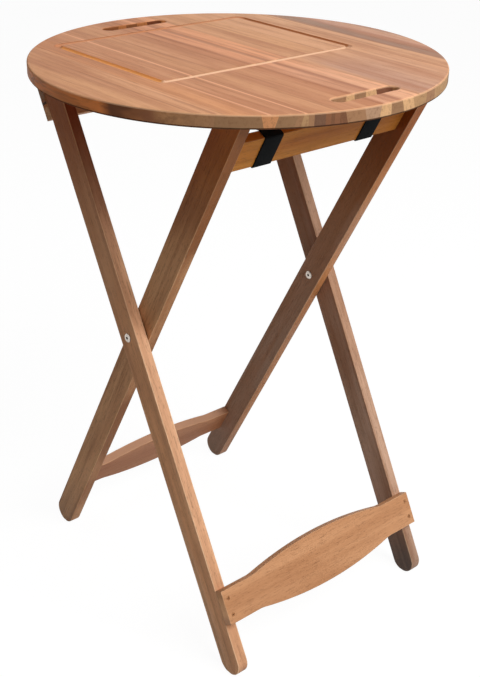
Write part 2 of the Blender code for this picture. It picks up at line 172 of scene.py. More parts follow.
def new_surface(name):
    """A material, its shader's inputs, and a wire that holds a place on the piece."""
    surface = bpy.data.materials.new(name)
    surface.use_nodes = True
    nodes = surface.node_tree.nodes
    spot = Wire(nodes.new("ShaderNodeTexCoord").outputs["Object"])
    return surface, nodes["Principled BSDF"].inputs, spot


def feed(socket, wire):
    socket.id_data.links.new(wire.socket, socket)


def raise_grain(inputs, height, distance, strength=1.0):
    """Bumps a surface by a height from 0 to 1 that stands for a distance in metres."""
    sockets = {"Height": height, "Distance": distance, "Strength": strength}
    feed(inputs["Normal"], height.add("ShaderNodeBump", {}, sockets))


def oiled_wood(
    name, tones, along, tilt, seed, contrast,
    tone_shift=0.0, edge_tone_and_light=None, end_tone=None, top_tone=None, grime_and_shade=0.3, head_shade=0.0, wear_and_highlight=0.30,
):
    """Oiled hardwood with its grain along one axis of its frame, from pale, usual, dark and pore tones.

    tone_shift is the share of the dark tone toward the far end of the grain: heartwood, and painted shade
    at the heads under the top and at the far end of a rail. edge_tone_and_light is what the narrow faces of a
    leg show, where the rings run another way, with painted light and shade for how the light falls on each
    leg. end_tone is what the end grain shows, top_tone is the paler tone of a board's upper edge,
    grime_and_shade is how far the broad faces go grey near the floor with grime and painted contact shade,
    head_shade is how far painted shade darkens the narrow faces under the top, where the broad faces always
    get a warm painted shade, and wear_and_highlight is how pale the arrises go, as wear and a painted
    highlight.
    """
    pale, usual, dark, pore = tones
    surface, inputs, spot = new_surface(name)
    turn = {"Vector": spot, "Location": pivot, "Rotation": (0.0, tilt, 0.0)}
    x, y, z = spot.add("ShaderNodeMapping", {"vector_type": "TEXTURE"}, turn).parts()
    length, width, depth = {"X": (x, y, z), "Y": (y, z, x), "Z": (z, x, y)}[along]

    def figure(along_rate, across_rate, detail, shift):
        sockets = {
            "X": length * along_rate + (seed + shift),
            "Y": width * across_rate + 2.3 * seed,
            "Z": depth * across_rate - 1.7 * seed,
        }
        return spot.add("ShaderNodeCombineXYZ", {}, sockets).noise(detail, 0.6)

    cloud = figure(4.5, 14.0, 1.0, 17.0)
    drift = figure(1.3, 20.0, 1.0, 0.0)
    streak = figure(2.2, 58.0, 2.0, 3.0)
    fibre = figure(11.0, 620.0, 3.0, 7.0)
    vessel = figure(30.0, 1100.0, 1.0, 11.0)
    fleck = figure(110.0, 420.0, 1.0, 13.0)
    pores = vessel.ease(0.60, 0.72)
    tone = drift.ease(0.34, 0.66).tinted(usual, pale)
    # Darker toward the far end of the grain, as heartwood and as painted shade under the top.
    tone = (length.ease(-0.35, 0.45) * tone_shift).tinted(tone, dark)
    _, normal_y, normal_z = spot.other("Normal").parts()
    sideways = abs(normal_y)
    # The narrow faces take their own tone, with painted light and shade for how light falls on the leg.
    if edge_tone_and_light:
        narrow = sideways.ease(0.6, 0.3) * (0.58 + 0.22 * length.ease(-0.62, -0.10))
        tone = (narrow + 0.2 * narrow * drift).tinted(tone, edge_tone_and_light)
    tone = (cloud.ease(0.50, 0.74) * contrast * 0.8).tinted(tone, dark)
    tone = (cloud.ease(0.48, 0.28) * 0.5).tinted(tone, pale)
    tone = (streak.ease(0.42, 0.74) * contrast).tinted(tone, dark)
    tone = (fibre.ease(0.46, 0.74) * 0.24).tinted(tone, dark)
    tone = (fleck.ease(0.58, 0.74) * 0.30).tinted(tone, pore)
    tone = (pores * 0.40).tinted(tone, pore)

    grain_axis = {"X": (1, 0, 0), "Y": (0, 1, 0), "Z": (0, 0, 1)}[along]
    grain_axis = Matrix.Rotation(tilt, 3, "Y") @ Vector(grain_axis)
    normals = {0: spot.other("Normal"), 1: grain_axis}
    facing = spot.add("ShaderNodeVectorMath", {"operation": "DOT_PRODUCT"}, normals, 1)
    end_grain = abs(facing).ease(0.75, 0.95)
    tone = (end_grain * (0.72 + 0.28 * streak)).tinted(tone, end_tone or pore)
    if top_tone:
        tone = (normal_z.ease(0.5, 0.8) * 0.75).tinted(tone, top_tone)
    # Painted contact shade and grime: the broad faces go grey towards the floor.
    broad = sideways.ease(0.3, 0.6)
    height = spot.parts()[2]
    floor_shade = height.ease(0.17, 0.01) * (0.35 + 0.65 * broad) * (0.6 + 0.6 * streak) * grime_and_shade
    tone = floor_shade.tinted(tone, shade(88, 76, 70))
    # Painted shade under the top: a warm filter on the broad faces, a deep tone on the narrow faces.
    top_shade_share = height.ease(0.70, 0.95)
    warm_shade_filter = (0.60, 0.36, 0.13, 1.0)
    tone = (top_shade_share * broad).tinted(tone, warm_shade_filter, "MULTIPLY")
    tone = (top_shade_share * (1 - broad) * head_shade).tinted(tone, shade(120, 44, 4))
    # Paler arrises: wear, and a painted highlight where the edges catch the light, fainter under the top.
    arris = spot.mark("arris")
    worn_highlight = arris * (0.45 + 0.55 * streak.ease(0.62, 0.40)) * (1 - 0.4 * top_shade_share)
    tone = (worn_highlight * wear_and_highlight).tinted(tone, shade(252, 214, 172))

    feed(inputs["Base Color"], tone)
    feed(inputs["Roughness"], 0.40 + 0.16 * fibre + 0.12 * pores + 0.12 * end_grain)
    inputs["Specular IOR Level"].default_value = 0.09
    raise_grain(inputs, 0.55 * fibre + 0.25 * streak - 0.5 * pores, 0.0005)
    return surface


def plain(shown):
    """What an object shows with its modifiers, as a mesh that stands alone."""
    graph = bpy.context.evaluated_depsgraph_get()
    finished = shown.evaluated_get(graph)
    return bpy.data.meshes.new_from_object(finished, preserve_all_data_layers=True, depsgraph=graph)


def added(name, data):
    """A new object in the scene."""
    thing = bpy.data.objects.new(name, data)
    bpy.context.scene.collection.objects.link(thing)
    return thing


def drawn(name, outlines, height, settings):
    """Closed outlines at a height, drawn as a curve: its mesh, and the merged shape to edit it by."""
    drawing = bpy.data.curves.new(name, "CURVE")
    for setting, value in settings.items():
        setattr(drawing, setting, value)
    for points in outlines:
        run = drawing.splines.new("POLY")
        run.points.add(len(points) - 1)
        run.points.foreach_set("co", [value for x, y in points for value in (x, y, height, 1.0)])
        run.use_cyclic_u = True
    sketch = added(name + "_drawing", drawing)
    mesh = plain(sketch)
    bpy.data.objects.remove(sketch)
    bpy.data.curves.remove(drawing)
    shape = bmesh.new()
    shape.from_mesh(mesh)
    bmesh.ops.remove_doubles(shape, verts=shape.verts, dist=merge_distance)
    bmesh.ops.recalc_face_normals(shape, faces=shape.faces)
    return mesh, shape


def planed(name, outlines, thickness, ease, place, finish):
    """A board sawn to its first outline, with the others as openings, and its arrises eased.

    It is drawn in XY, centred on its thickness, and set in its place as a mesh.
    """
    sawn = {"dimensions": "2D", "fill_mode": "BOTH", "extrude": thickness / 2 - ease}
    eased = {"bevel_depth": ease, "bevel_resolution": 3, "offset": -ease}
    mesh, shape = drawn(name, outlines, 0.0, {**sawn, **eased})
    arris = shape.faces.layers.float.new("arris")
    for face in shape.faces:
        face.smooth = True
        face[arris] = float(0.05 < abs(face.normal.z) < 0.95)
    bmesh.ops.transform(shape, matrix=place, verts=shape.verts)
    shape.to_mesh(mesh)
    shape.free()
    mesh.materials.clear()
    mesh.materials.append(finish)
    return even_shading(added(name, mesh), place.to_3x3().col[2])


def even_shading(piece, facing):
    """Lets the broad faces set the shading, so that flat wood looks flat up to its eased arrises."""
    piece.modifiers.new("even", "WEIGHTED_NORMAL").keep_sharp = True
    mesh = plain(piece)
    piece.modifiers.clear()
    normals = [corner.vector.copy() for corner in mesh.corner_normals]
    for polygon in mesh.polygons:
        if abs(polygon.normal.dot(facing)) > 0.9999:
            for corner in polygon.loop_indices:
                normals[corner] = polygon.normal
    mesh.normals_split_custom_set(normals)
    piece.data = mesh
    return piece


def arc(centre, radius, start, end, steps):
    """Points on an arc, both ends included."""
    angles = [start + (end - start) * step / steps for step in range(steps + 1)]
    return [(centre[0] + radius * math.cos(a), centre[1] + radius * math.sin(a)) for a in angles]


def circle(centre, radius, steps):
    return arc(centre, radius, 0.0, 2 * math.pi, steps)[:-1]


def leg_outlines(lean_sign):
    """A leg of the outer (1) or the inner (-1) frame, seen along the bolts, and its bore."""
    radius = leg_width / 2
    down = 1.5 * math.pi - lean
    flat = math.acos(1.0 - foot_flat / radius)
    slope = radius * math.tan(lean)
    points = arc((0.0, foot_centre), radius, math.pi, down - flat, 12)
    points += arc((0.0, foot_centre), radius, down + flat, 2 * math.pi, 24)
    points += [(radius, leg_top - slope), (-radius, leg_top + slope)]
    return [[(lean_sign * x, z) for x, z in points], circle((0.0, 0.0), pivot_bore, 32)]


def leg_place(frame_place, y):
    return frame_place @ Matrix.Translation((0.0, y, 0.0)) @ Matrix.Rotation(math.pi / 2, 4, "X")


pale_tones = (shade(250, 196, 150), shade(244, 178, 126), shade(168, 110, 76), shade(112, 69, 45))
rosy_tones = (shade(210, 174, 152), shade(186, 150, 126), shade(132, 70, 14), shade(94, 57, 28))
# Each leg's finish paints light and shade: its edge tone, its dark head, its grey foot, its pale arrises.
outer_leg_woods = {
    "left": {
        "tones": pale_tones, "seed": 4.1, "contrast": 0.42, "tone_shift": 0.7,
        "edge_tone_and_light": shade(232, 180, 142), "grime_and_shade": 0.15, "head_shade": 0.95, "wear_and_highlight": 0.8,
    },
    "right": {
        "tones": rosy_tones, "seed": 9.7, "contrast": 0.42, "tone_shift": 0.9,
        "edge_tone_and_light": shade(218, 178, 150), "grime_and_shade": 0.95,
    },
}
for side, hand in hands:
    name = "outer_leg_" + side
    finish = oiled_wood("leg_wood_outer_" + side, along="Z", tilt=-lean, **outer_leg_woods[side])
    place = leg_place(outer_place, hand * outer_leg_middle)
    outer_leg = planed("oiled_" + name, leg_outlines(1), leg_thickness, edge_ease, place, finish)
    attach(outer_leg, "outer_frame")
    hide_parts(name)

# Outer top rail: a plain board screwed flat over the back edges of the outer legs, just under the top.
# It is a lighter oiled wood with the grain along it. Its four screws sit flush in their holes, and the
# straps wrap round it.
rail_height = 0.060
board_thickness = 0.018
frame_width = 0.480
overlay_middle = 0.0348
outer_rail_middle = 0.428
screw_bore = 0.0036
screw_spacing = 0.031


def board_place(frame_place, across, middle):
    """Where a board drawn along Y and Z of its frame goes, its thickness across the frame."""
    upright = Matrix.Rotation(math.pi / 2, 4, "Z") @ Matrix.Rotation(math.pi / 2, 4, "X")
    return frame_place @ Matrix.Translation((across, 0.0, middle)) @ upright


def screw_holes():
    """Two holes at each end of a board, over the middle of each outer leg."""
    places = [(y, z) for y in (-1, 1) for z in (-1, 1)]
    return [circle((y * outer_leg_middle, z * screw_spacing / 2), screw_bore, 32) for y, z in places]


def rail_outline(length):
    half, rise = length / 2, rail_height / 2
    return [(-half, -rise), (half, -rise), (half, rise), (-half, rise)]


board_tones = (shade(213, 157, 114), shade(198, 141, 99), shade(174, 117, 77), shade(136, 87, 54))
# The rail's end grain is painted dark as the shade under the top.
shaded_end = shade(26, 24, 14)
finish = oiled_wood("rail_wood_outer", board_tones, "Y", -lean, 14.9, 0.45, end_tone=shaded_end)
place = board_place(outer_place, -overlay_middle, outer_rail_middle)
outlines = [rail_outline(frame_width)] + screw_holes()
outer_rail = planed("oiled_outer_top_rail", outlines, board_thickness, edge_ease, place, finish)
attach(outer_rail, "outer_frame")
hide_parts("outer_top_rail")

# Front stretcher: a board with both edges band-sawn to a full belly between level shoulders, screwed
# over the front edges of the outer legs above their feet. Its grain is fine, and its sawn ends are pale,
# with painted light on them.
stretcher_shoulder = 0.0625
stretcher_belly = 0.098
belly_reach_share = 0.69
belly_blend = 0.0015
front_stretcher_middle = -0.5005


def stretcher_outline(length):
    half = length / 2
    crown = (stretcher_belly - stretcher_shoulder) / 2
    reach = belly_reach_share * half
    start = reach * math.sqrt(1.0 + belly_blend / crown)
    steps = 96
    stations = [-half] + [start * (2 * step / steps - 1) for step in range(steps + 1)] + [half]
    upper = []
    for y in stations:
        rise = crown * (1.0 - (y / reach) ** 2)
        if rise < belly_blend:
            rise = max(rise + belly_blend, 0.0) ** 2 / (4 * belly_blend)
        upper.append((y, stretcher_shoulder / 2 + rise))
    return upper[::-1] + [(y, -z) for y, z in upper]


# The sawn ends are pale, with painted light on the end that faces away from the light.
lit_pale_end = shade(246, 188, 139)
finish = oiled_wood("stretcher_wood_front", board_tones, "Y", -lean, 21.3, 0.40, end_tone=lit_pale_end)
place = board_place(outer_place, overlay_middle, front_stretcher_middle)
outlines = [stretcher_outline(frame_width)] + screw_holes()
front_stretcher = planed("oiled_front_stretcher", outlines, board_thickness, edge_ease, place, finish)
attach(front_stretcher, "outer_frame")
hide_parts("front_stretcher")

# Board screws: countersunk steel wood screws with a cross drive, two at each end of the outer rail and
# of the front stretcher. Their yellow passivated plating has gone dull in patches and is darkened in the
# recess by grime and painted shade.
overlay_outside = 0.0438
screw_sink = 0.0003
sharp_angle = 0.5


def size_tree(name, sizes):
    """A geometry tree with a length input for each named size, and wires from those inputs."""
    tree = bpy.data.node_groups.new(name, "GeometryNodeTree")
    tree.interface.new_socket("Places", in_out="INPUT", socket_type="NodeSocketGeometry")
    tree.interface.new_socket("Fittings", in_out="OUTPUT", socket_type="NodeSocketGeometry")
    for size in sizes:
        tree.interface.new_socket(size, in_out="INPUT", socket_type="NodeSocketFloat")
    entry = tree.nodes.new("NodeGroupInput")
    return tree, Wire(entry.outputs["Places"]), {size: Wire(entry.outputs[size]) for size in sizes}


def round_bar(places, radius, height, low, sides):
    """A closed round bar that starts at height low."""
    settings = {"Vertices": sides, "Radius Top": radius, "Radius Bottom": radius, "Depth": height}
    bar = places.add("GeometryNodeMeshCone", {}, settings)
    shift = places.add("ShaderNodeCombineXYZ", {}, {"Z": low})
    return places.add("GeometryNodeTransform", {}, {"Geometry": bar, "Translation": shift})


def end_face(places, sign):
    """Marks the faces that look up (1) or down (-1)."""
    z = places.add("GeometryNodeInputNormal", {}, {}).parts()[2]
    return z * sign > 0.9


def drawn_out(bar, face, distance, share):
    """Draws the marked face of a bar out by a distance and scales it, and marks where it ends."""
    sockets = {"Mesh": bar, "Selection": face, "Offset Scale": distance, "Individual": False}
    longer = bar.add("GeometryNodeExtrudeMesh", {"mode": "FACES"}, sockets)
    tip = longer.other("Top")
    sockets = {"Geometry": longer, "Selection": tip, "Scale": share}
    return bar.add("GeometryNodeScaleElements", {"domain": "FACE"}, sockets), tip


def cut_out(bar, tools):
    """Cuts tools out of a bar, and marks the faces that they leave as its recess."""
    settings = {"data_type": "FLOAT", "domain": "FACE"}
    marked = []
    for tool in tools:
        sockets = {"Geometry": tool, "Name": "recess", "Value": 1.0}
        marked.append(bar.add("GeometryNodeStoreNamedAttribute", settings, sockets))
    return bar.add("GeometryNodeMeshBoolean", {"operation": "DIFFERENCE"}, {"Mesh 1": bar, "Mesh 2": marked})


def set_out(tree, places, fitting, finish):
    """Ends a tree with its fitting at every place, turned to face outwards, as one mesh."""
    settings = {"data_type": "FLOAT_VECTOR"}
    facing = places.add("GeometryNodeInputNamedAttribute", settings, {"Name": "facing"})
    turn = places.add("FunctionNodeAlignRotationToVector", {"axis": "Z"}, {"Vector": facing})
    sockets = {"Points": places, "Instance": fitting, "Rotation": turn}
    copies = places.add("GeometryNodeInstanceOnPoints", {}, sockets)
    whole = places.add("GeometryNodeRealizeInstances", {}, {"Geometry": copies})
    smooth = places.add("GeometryNodeSetShadeSmooth", {"domain": "FACE"}, {0: whole, "Shade Smooth": True})
    sharp = places.add("GeometryNodeInputMeshEdgeAngle", {}, {}) > sharp_angle
    edged = {0: smooth, "Selection": sharp, "Shade Smooth": False}
    smooth = places.add("GeometryNodeSetShadeSmooth", {"domain": "EDGE"}, edged)
    dressed = places.add("GeometryNodeSetMaterial", {}, {"Geometry": smooth, "Material": finish})
    feed(tree.nodes.new("NodeGroupOutput").inputs["Fittings"], dressed)


def fitted(name, tree, sizes, places):
    """One mesh of a tree's fitting at each (place, direction)."""
    seats = bpy.data.meshes.new(name)
    seats.from_pydata([place for place, _ in places], [], [])
    facing = seats.attributes.new("facing", "FLOAT_VECTOR", "POINT")
    facing.data.foreach_set("vector", [value for _, direction in places for value in direction])
    piece = added(name, seats)
    repeat = piece.modifiers.new("fittings", "NODES")
    repeat.node_group = tree
    for item in tree.interface.items_tree:
        if item.name in sizes:
            repeat[item.identifier] = sizes[item.name]
    mesh = plain(piece)
    piece.modifiers.clear()
    piece.data = mesh
    return piece


def plated_steel(name, bright, dull, roughness, bump, grime_and_shade):
    """Plated steel that is bright where it is rubbed, dull in patches, and darkened in its recess by grime
    and painted shade, by a share.
    """
    surface, inputs, spot = new_surface(name)
    patches = spot.scaled(420.0).noise(3.0, 0.6)
    grit = spot.scaled(2600.0).noise(2.0)
    recess = spot.mark("recess") * grime_and_shade
    plate = patches.ease(0.35, 0.70).tinted(bright, dull)
    feed(inputs["Base Color"], recess.tinted(plate, shade(38, 31, 26)))
    feed(inputs["Roughness"], roughness + 0.22 * (patches - 0.5) + 0.16 * (grit - 0.5) + 0.3 * recess)
    inputs["Metallic"].default_value = 1.0
    raise_grain(inputs, 0.6 * grit + 0.4 * patches, bump)
    return surface


def seated(frame_place, point, direction):
    """A fitting's place and direction, from its frame's space to the table's."""
    return tuple(frame_place @ Vector(point)), tuple(frame_place.to_3x3() @ Vector(direction))


screw_sizes = {
    "Head Diameter": 0.0085,
    "Shank Diameter": 0.0040,
    "Length": 0.042,
    "Brim": 0.0004,
    "Point": 0.006,
    "Drive Width": 0.0046,
    "Drive Slot": 0.0009,
    "Drive Depth": 0.0014,
}
screw_tree, places, size = size_tree("board_screw", screw_sizes)
head = size["Head Diameter"] / 2
taper = size["Shank Diameter"] / size["Head Diameter"]
sink = head - size["Shank Diameter"] / 2
shank = size["Length"] - size["Brim"] - sink - size["Point"]
screw = round_bar(places, head, size["Brim"], 0 - size["Brim"], 32)
screw, tip = drawn_out(screw, end_face(places, -1), sink, taper)
screw, tip = drawn_out(screw, tip, shank, 1.0)
screw, _ = drawn_out(screw, tip, size["Point"], 0.08)
drive = []
for wide, slim in (("X", "Y"), ("Y", "X")):
    way = {wide: size["Drive Width"], slim: size["Drive Slot"], "Z": size["Drive Depth"] * 2}
    block = places.add("ShaderNodeCombineXYZ", {}, way)
    drive.append(places.add("GeometryNodeMeshCube", {}, {"Size": block}))
yellow = (shade(190, 136, 94), shade(130, 86, 56))
yellow_plate = plated_steel("yellow_plated_steel", *yellow, roughness=0.42, bump=0.00008, grime_and_shade=0.45)
set_out(screw_tree, places, cut_out(screw, drive), yellow_plate)

screw_places = []
screw_nodes = []
for board, face, middle in (("rail", -1, outer_rail_middle), ("stretcher", 1, front_stretcher_middle)):
    for side, hand in hands:
        for level, rise in (("upper", 1), ("lower", -1)):
            height = middle + rise * screw_spacing / 2
            point = (face * (overlay_outside - screw_sink), hand * outer_leg_middle, height)
            screw_places.append(seated(outer_place, point, (face, 0.0, 0.0)))
            screw_nodes.append(f"{board}_screw_{side}_{level}")
screws = fitted("board_screws", screw_tree, screw_sizes, screw_places)
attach(screws, "outer_frame")
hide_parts(*screw_nodes)

# Inner legs: the same bars as the outer ones, set inside them and leant the other way.
# Their boards are let in between them on dowels, so no screw shows on their edges.
inner_leg_middle = 0.2053
inner_place = Matrix.Translation(pivot) @ Matrix.Rotation(lean, 4, "Y")
golden_leg_tones = (shade(226, 170, 122), shade(207, 149, 104), shade(150, 94, 54), shade(98, 62, 36))
grey_leg_tones = (shade(190, 150, 126), shade(176, 141, 118), shade(150, 90, 36), shade(96, 57, 30))
# Each leg's finish paints light and shade: its edge tone, its dark head and its pale arrises.
inner_leg_woods = {
    "left": {
        "tones": golden_leg_tones, "seed": 27.4, "contrast": 0.62, "tone_shift": 0.2,
        "edge_tone_and_light": shade(128, 74, 34), "wear_and_highlight": 0.2,
    },
    "right": {
        "tones": grey_leg_tones, "seed": 33.8, "contrast": 0.42, "tone_shift": 0.9,
        "edge_tone_and_light": shade(208, 140, 88), "head_shade": 0.5,
    },
}
for side, hand in hands:
    name = "inner_leg_" + side
    finish = oiled_wood("leg_wood_inner_" + side, along="Z", tilt=lean, **inner_leg_woods[side])
    place = leg_place(inner_place, hand * inner_leg_middle)
    inner_leg = planed("oiled_" + name, leg_outlines(-1), leg_thickness, edge_ease, place, finish)
    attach(inner_leg, "inner_frame")
    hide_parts(name)

# Inner top rail and rear stretcher: boards cut to fit between the inner legs and dowelled to them.
# The stretcher has the same bellied edges as the front one, and lies flush with the legs' back edges.
inner_board_length = 0.3882
inner_rail_middle = 0.418
rear_stretcher_across = -0.0165
rear_stretcher_middle = -0.512
golden_tones = (shade(214, 142, 60), shade(196, 119, 46), shade(142, 79, 29), shade(110, 62, 24))
brown_tones = (shade(192, 135, 97), shade(179, 121, 85), shade(157, 100, 65), shade(123, 73, 45))
# The rail darkens toward its far end, as heartwood and as painted shade.
rail_wood = {"tones": golden_tones, "seed": 38.2, "tone_shift": 0.8}
stretcher_wood = {"tones": brown_tones, "seed": 45.6, "top_tone": shade(212, 164, 134)}
rear_outline = stretcher_outline(inner_board_length)
inner_boards = (
    ("inner_top_rail", rail_outline(inner_board_length), 0.0, inner_rail_middle, rail_wood),
    ("rear_stretcher", rear_outline, rear_stretcher_across, rear_stretcher_middle, stretcher_wood),
)
for name, outline, across, middle, wood in inner_boards:
    finish = oiled_wood("board_wood_" + name, along="Y", tilt=lean, contrast=0.45, **wood)
    place = board_place(inner_place, across, middle)
    inner_board = planed("oiled_" + name, [outline], board_thickness, edge_ease, place, finish)
    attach(inner_board, "inner_frame")
    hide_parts(name)

# Dowels: chamfered beech pins glued into the inner legs and their boards. They are hidden in the joints,
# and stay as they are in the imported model, in bare pale wood.
beech_tones = (shade(222, 190, 150), shade(206, 170, 128), shade(178, 138, 96), shade(140, 100, 66))
bare_beech = oiled_wood("bare_beech", beech_tones, "Y", lean, 52.5, 0.40)
for name, node in frame["nodes"].items():
    if "_dowel_" in name:
        node.data.materials.clear()
        node.data.materials.append(bare_beech)

# Pivots: a flat-headed bolt through both legs, screwed into a sleeve nut from the inside, with a washer
# between the legs. All are bright zinc-plated steel with a six-sided key socket in each flat head.
bolt_seat = 0.2403
sleeve_seat = 0.1941
brim_share = 0.55
bolt_sizes = {
    "Head Diameter": 0.016,
    "Head Height": 0.0024,
    "Crown Share": 0.86,
    "Shank Diameter": 0.006,
    "Shank Length": 0.0362,
    "Key Width": 0.005,
    "Key Depth": 0.0016,
}
sleeve_sizes = {**bolt_sizes, "Shank Diameter": 0.0094, "Shank Length": 0.0342}
bolt_tree, places, size = size_tree("pivot_bolt", bolt_sizes)
brim = size["Head Height"] * brim_share
bolt = round_bar(places, size["Head Diameter"] / 2, brim, 0.0, 48)
crown = size["Head Height"] * (1 - brim_share)
bolt, _ = drawn_out(bolt, end_face(places, 1), crown, size["Crown Share"])
bolt, seat = drawn_out(bolt, end_face(places, -1), 0.0, size["Shank Diameter"] / size["Head Diameter"])
bolt, _ = drawn_out(bolt, seat, size["Shank Length"], 1.0)
key_depth = size["Key Depth"]
key = round_bar(places, size["Key Width"] / math.sqrt(3), key_depth * 2, size["Head Height"] - key_depth, 6)
zinc = (shade(212, 203, 193), shade(166, 154, 142))
# The key sockets are darkened by grime and painted shade.
zinc_plate = plated_steel("bright_zinc_plate", *zinc, roughness=0.30, bump=0.00004, grime_and_shade=0.95)
set_out(bolt_tree, places, cut_out(bolt, [key]), zinc_plate)
pivots = (("pivot_bolt", bolt_seat, 1, bolt_sizes), ("sleeve_nut", sleeve_seat, -1, sleeve_sizes))
for name, height, facing, sizes in pivots:
    pair = [seated(outer_place, (0.0, y * height, 0.0), (0.0, y * facing, 0.0)) for y in (-1, 1)]
    pieces = fitted(name + "s", bolt_tree, sizes, pair)
    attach(pieces, "outer_frame")
    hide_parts(name + "_left", name + "_right")
for side, _ in hands:
    washer = frame["nodes"]["pivot_washer_" + side]
    washer.data.materials.clear()
    washer.data.materials.append(zinc_plate)

# Straps: black woven webbing that stops the stand from opening further. Each one is wrapped round both
# top rails and pulled straight between them. The wraps move with their rails, and the free span
# between them goes with the outer frame, as a mesh of its own.
webbing_width = 0.038
webbing_thickness = 0.002
strap_spacing = 0.228
strap_tail = 0.030
fit_gap = 0.0003
overlay_inside = 0.0258
quarter = math.pi / 2


def rail_edges(frame_place, back, front, middle):
    """Centres of a rail's eased edges in X and Z: bottom front, bottom back, top back and top front."""
    low = middle - rail_height / 2 + edge_ease
    high = middle + rail_height / 2 - edge_ease
    back, front = back + edge_ease, front - edge_ease
    places = ((front, low), (back, low), (back, high), (front, high))
    return [(frame_place @ Vector((across, 0.0, along))).xz for across, along in places]


def turning(edge, start, end, steps):
    """Stations round a rail's edge: the edge's centre, and the way that the webbing faces there."""
    return [(edge, start + (end - start) * step / steps) for step in range(steps + 1)]


def along(point, angle, distance):
    return point + distance * Vector((math.cos(angle), math.sin(angle)))


outer_edges = rail_edges(outer_place, -overlay_outside, -overlay_inside, outer_rail_middle)
inner_edges = rail_edges(inner_place, -board_thickness / 2, board_thickness / 2, inner_rail_middle)
span_start, span_end = outer_edges[3], inner_edges[2]
span_facing = math.atan2(*(span_end - span_start).yx) + quarter

facing = lean
outer_wrap = [(along(outer_edges[0], facing + quarter, strap_tail), facing)]
for edge in outer_edges[:3]:
    outer_wrap += turning(edge, facing, facing - quarter, 8)
    facing -= quarter
outer_wrap += turning(span_start, facing, span_facing - 4 * quarter, 6)

facing = quarter - lean
inner_wrap = turning(span_end, span_facing, facing, 6)
for edge in (inner_edges[3], inner_edges[0], inner_edges[1]):
    inner_wrap += turning(edge, facing, facing - quarter, 8)
    facing -= quarter
inner_wrap.append((along(inner_edges[1], facing - quarter, strap_tail), facing))

span_steps = 48
free_span = [(span_start.lerp(span_end, step / span_steps), span_facing) for step in range(span_steps + 1)]


def woven(name, stations, y, finish):
    """A length of webbing through its stations, with rounded selvedges, and its length in its UV map."""
    half, thick = webbing_width / 2, webbing_thickness / 2
    selvedge_angles = (-1.57, -0.9, -0.3, 0.3, 0.9, 1.57)
    right = [(half - thick + thick * math.cos(a), thick * math.sin(a)) for a in selvedge_angles]
    section = right + [(-across, off) for across, off in reversed(right)]
    middle = edge_ease + fit_gap + thick
    shape = bmesh.new()
    weave = shape.loops.layers.uv.new("weave")
    rings = []
    runs = [0.0]
    for station, (edge, angle) in enumerate(stations):
        centre = along(edge, angle, middle)
        if station:
            runs.append(runs[-1] + (centre - previous).length)
        previous = centre
        ring = []
        for across, off in section:
            x, z = along(edge, angle, middle + off)
            ring.append(shape.verts.new((x, y + across, z)))
        rings.append(ring)
    count = len(section)
    for station in range(len(rings) - 1):
        for k in range(count):
            after = (k + 1) % count
            corners = ((station, k), (station, after), (station + 1, after), (station + 1, k))
            face = shape.faces.new([rings[i][j] for i, j in corners])
            face.smooth = True
            for loop, (i, j) in zip(face.loops, corners):
                loop[weave].uv = (section[j][0], runs[i])
    for ring, run in ((rings[0], runs[0]), (rings[-1], runs[-1])):
        face = shape.faces.new(ring)
        for loop, (across, _) in zip(face.loops, section):
            loop[weave].uv = (across, run)
    bmesh.ops.recalc_face_normals(shape, faces=shape.faces)
    mesh = bpy.data.meshes.new(name)
    shape.to_mesh(mesh)
    shape.free()
    mesh.set_sharp_from_angle(angle=math.radians(60.0))
    mesh.materials.append(finish)
    return added(name, mesh)


webbing, inputs, spot = new_surface("black_webbing")
weave = spot.add("ShaderNodeUVMap", {"uv_map": "weave"}, {})
across, run, _ = weave.parts()
warp_pitch = 0.0019
weft_pitch = 0.0024
panel = spot.math("PINGPONG", across + webbing_width, webbing_width / 4)
ribs = spot.math("SINE", (run + panel * 0.6) * (2 * math.pi / weft_pitch)) * 0.5 + 0.5
cords = spot.math("SINE", across * (2 * math.pi / warp_pitch)) * 0.5 + 0.5
fuzz = weave.scaled(900.0).noise(3.0, 0.7)
thread = ribs * 0.6 + cords * 0.4
selvedge = abs(across).ease(0.0165, 0.0175)
tone = (thread * 0.7 + fuzz * 0.3).tinted(shade(8, 10, 11), shade(27, 29, 30))
feed(inputs["Base Color"], (selvedge * 0.5).tinted(tone, shade(17, 18, 19)))
feed(inputs["Roughness"], 0.72 + 0.2 * fuzz)
inputs["Specular IOR Level"].default_value = 0.06
raise_grain(inputs, thread * (1 - 0.6 * selvedge) + 0.2 * fuzz, 0.0004)

lengths = (
    ("outer", outer_wrap, "outer_frame"),
    ("span", free_span, "outer_frame"),
    ("inner", inner_wrap, "inner_frame"),
)
for side, hand in hands:
    y = hand * strap_spacing / 2
    for name, stations, body in lengths:
        strap = woven(f"webbing_{name}_{side}", stations, y, webbing)
        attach(strap, body)
        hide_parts("strap_" + side)
        if name == "span":
            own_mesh(strap)

# Strap tacks: blacked steel upholstery tacks with low domed heads, two through the tail of each strap
# into the face of its rail.
tack_setback = 0.010
tack_spacing = 0.018
tack_tiers = (0.33, 0.42, 0.25)
tack_sizes = {
    "Head Diameter": 0.007,
    "Head Height": 0.0009,
    "Shank Diameter": 0.0018,
    "Length": 0.013,
    "Point": 0.003,
}
tack_tree, places, size = size_tree("strap_tack", tack_sizes)
brim, shoulder, crown = [size["Head Height"] * share for share in tack_tiers]
tack = round_bar(places, size["Head Diameter"] / 2, brim, 0.0, 24)
tack, tier = drawn_out(tack, end_face(places, 1), shoulder, 0.82)
tack, _ = drawn_out(tack, tier, crown, 0.55)
tack, seat = drawn_out(tack, end_face(places, -1), 0.0, size["Shank Diameter"] / size["Head Diameter"])
tack, tip = drawn_out(tack, seat, size["Length"] - size["Point"], 1.0)
tack, _ = drawn_out(tack, tip, size["Point"], 0.10)
